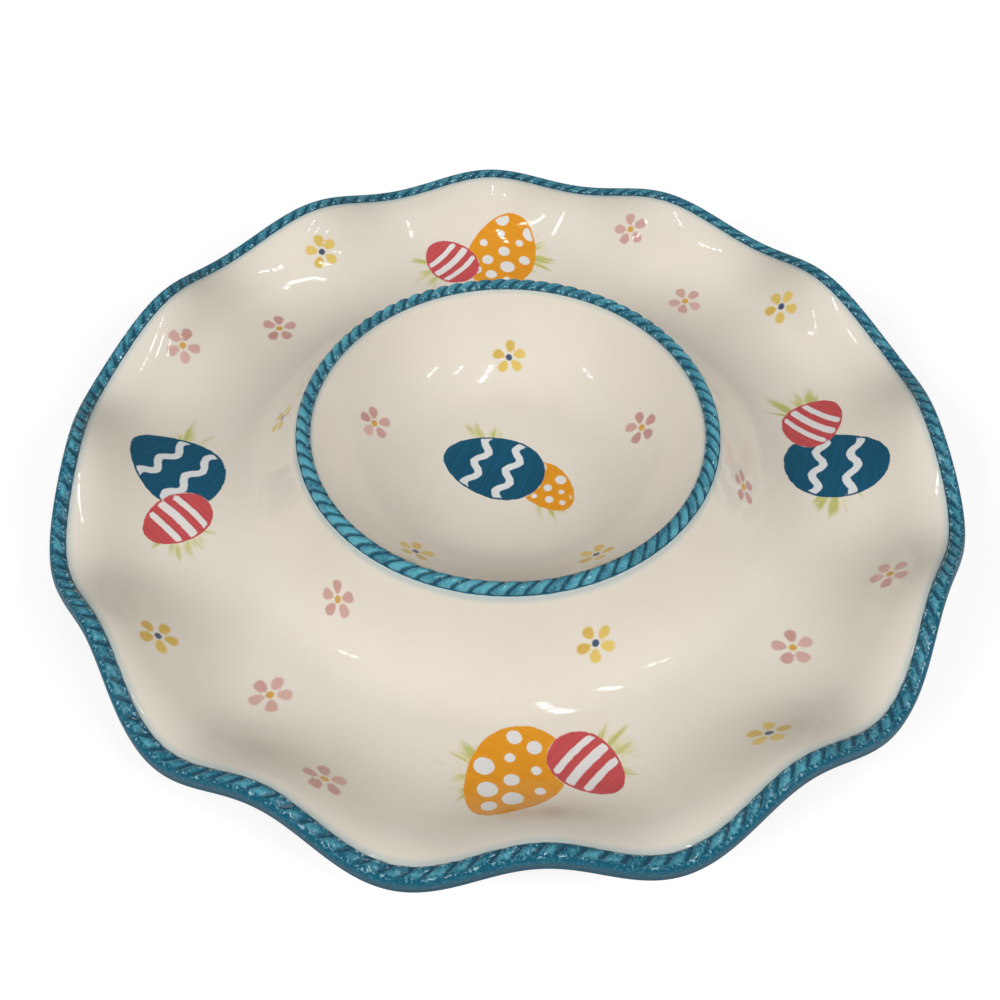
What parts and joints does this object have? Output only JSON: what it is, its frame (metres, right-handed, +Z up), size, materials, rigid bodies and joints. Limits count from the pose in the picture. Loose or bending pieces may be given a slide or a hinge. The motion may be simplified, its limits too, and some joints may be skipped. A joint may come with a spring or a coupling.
{
  "type": "chip and dip platter",
  "caption": "Round ruffled stoneware platter with a raised dip bowl in its middle, a trough for chips around it and rope-twist edges on both rims.",
  "frame": {"origin": "centre of the platter on the table that it stands on", "axes": "+Z up along the axis of the bowl and dish; +X towards a low, outward lobe of the ruffled rim"},
  "size_m": [0.3816, 0.3816, 0.0493],
  "materials": {
    "cream_glaze": "glossy cream glaze on fired stoneware, hand painted under the glaze",
    "teal_glaze": "glossy teal glaze over raised rope strands",
    "unglazed_biscuit": "bare fired clay, wiped clean of glaze"
  },
  "bodies": {
    "root": {"ruffled_dish": "cream_glaze", "dip_bowl": "cream_glaze", "rim_rope": "teal_glaze", "bowl_rope": "teal_glaze", "dish_foot_ring": "unglazed_biscuit", "bowl_foot_ring": "unglazed_biscuit"}
  },
  "joints": []
}
